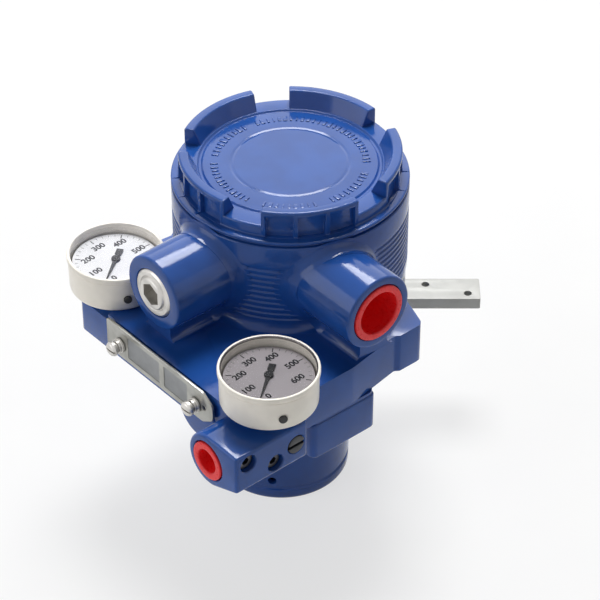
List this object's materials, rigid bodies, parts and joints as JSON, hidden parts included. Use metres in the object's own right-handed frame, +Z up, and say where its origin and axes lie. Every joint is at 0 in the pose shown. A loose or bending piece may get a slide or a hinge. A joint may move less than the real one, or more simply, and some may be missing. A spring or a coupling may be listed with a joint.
{
  "type": "valve positioner",
  "caption": "Electro-pneumatic valve positioner: ribbed blue housing with a screw cover, round pressure gauges, a port block, a relay cup and a feedback lever.",
  "frame": {"origin": "on the flat floor of the relay cup, where the axis of the screw cover meets it", "axes": "+Z up along the cover's axis, +X along the capped cable entry, -Y along the plugged cable entry and towards the name plate"},
  "size_m": [0.1386, 0.1826, 0.1495],
  "materials": {
    "blue_paint": "glossy blue enamel on a die casting",
    "red_plastic": "red dust-cap plastic",
    "zinc_plate": "zinc-plated steel",
    "steel": "plain turned steel",
    "lever_steel": "pale satin steel plate",
    "brass": "turned brass",
    "cream_paint": "off-white gauge case",
    "dial_white": "matt pale dial",
    "glass": "clear gauge window",
    "black_paint": "black satin",
    "rubber": "moulded rubber",
    "green_board": "coated circuit board",
    "black_resin": "black moulded resin",
    "copper": "copper alloy",
    "aluminium": "machined aluminium"
  },
  "bodies": {
    "housing": {"angle_sensor": "black_resin", "circuit_board": "green_board", "conduit_cap": "red_plastic", "conduit_plug": "zinc_plate", "electronics_module": "black_resin", "flapper": "steel", "front_block_plug": "zinc_plate", "left_gauge_case": "cream_paint", "left_gauge_dial": "dial_white", "left_gauge_movement": "brass", "left_gauge_stem": "brass", "left_gauge_tube": "copper", "left_gauge_vent_plug": "rubber", "left_gauge_window": "glass", "main_housing": "blue_paint", "module_screw_1": "zinc_plate", "module_screw_2": "zinc_plate", "name_plate": "zinc_plate", "name_plate_screw_1": "zinc_plate", "name_plate_screw_2": "zinc_plate", "nozzle_base": "aluminium", "pilot_relay": "aluminium", "port_cap": "red_plastic", "rear_block_plug": "zinc_plate", "relay_block": "blue_paint", "relay_block_screw_1": "zinc_plate", "relay_block_screw_2": "zinc_plate", "relay_block_screw_3": "zinc_plate", "relay_block_screw_4": "zinc_plate", "relay_cover": "blue_paint", "relay_cover_seal": "rubber", "relay_gasket": "rubber", "relay_spring": "steel", "right_gauge_case": "cream_paint", "right_gauge_dial": "dial_white", "right_gauge_movement": "brass", "right_gauge_stem": "brass", "right_gauge_tube": "copper", "right_gauge_vent_plug": "rubber", "right_gauge_window": "glass", "shaft_bush": "brass", "shaft_plate": "blue_paint", "shaft_plate_screw_1": "zinc_plate", "shaft_plate_screw_2": "zinc_plate", "terminal_block": "black_resin", "terminal_screw_1": "brass", "terminal_screw_2": "brass", "terminal_screw_3": "brass", "torque_coil": "copper"},
    "cover_seal": {"cover_seal": "rubber"},
    "cover": {"cover": "blue_paint"},
    "lever": {"feedback_shaft": "steel", "sensor_sector": "brass", "feedback_lever": "lever_steel", "lever_nut": "zinc_plate"},
    "sensor_rotor": {"sensor_pinion": "brass"},
    "mode_switch": {"mode_switch": "black_paint"},
    "left_pointer": {"left_gauge_pointer": "black_paint"},
    "right_pointer": {"right_gauge_pointer": "black_paint"},
    "relay_spool": {"relay_spool": "steel"}
  },
  "joints": [
    {"name": "cover_lift", "type": "slide", "parent": "housing", "child": "cover_seal", "axis": [0, 0, 1], "range_m": [0, 0.0095]},
    {"name": "cover_turn", "type": "hinge", "parent": "cover_seal", "child": "cover", "pos_m": [0, 0, 0.1372], "axis": [0, 0, 1], "range_deg": [0, 2160]},
    {"name": "lever_turn", "type": "hinge", "parent": "housing", "child": "lever", "pos_m": [-0.022, 0.017, 0.07], "axis": [0, 0, 1], "range_deg": [-28, 28]},
    {"name": "sensor_turn", "type": "hinge", "parent": "housing", "child": "sensor_rotor", "pos_m": [-0.0028, 0.017, 0.082], "axis": [0, 0, 1], "range_deg": [-90, 90]},
    {"name": "mode_switch_turn", "type": "hinge", "parent": "housing", "child": "mode_switch", "pos_m": [0.077, -0.0664, 0.0814], "axis": [1, 0, 0], "range_deg": [0, 180]},
    {"name": "left_pointer_turn", "type": "hinge", "parent": "housing", "child": "left_pointer", "pos_m": [-0.033, -0.0662, 0.1058], "axis": [0, 0, -1], "range_deg": [0, 262]},
    {"name": "right_pointer_turn", "type": "hinge", "parent": "housing", "child": "right_pointer", "pos_m": [0.065, -0.0662, 0.1058], "axis": [0, 0, -1], "range_deg": [0, 262]},
    {"name": "relay_spool_slide", "type": "slide", "parent": "housing", "child": "relay_spool", "axis": [0, 0, 1], "range_m": [-0.0008, 0.0008], "stiffness_N_per_m": 1500, "deforming": ["relay_spring"]}
  ],
  "couplings": [
    {"joint": "cover_lift", "follows": "cover_turn", "m_per_rad": 0.00023873},
    {"joint": "sensor_turn", "follows": "lever_turn", "ratio": -3}
  ]
}
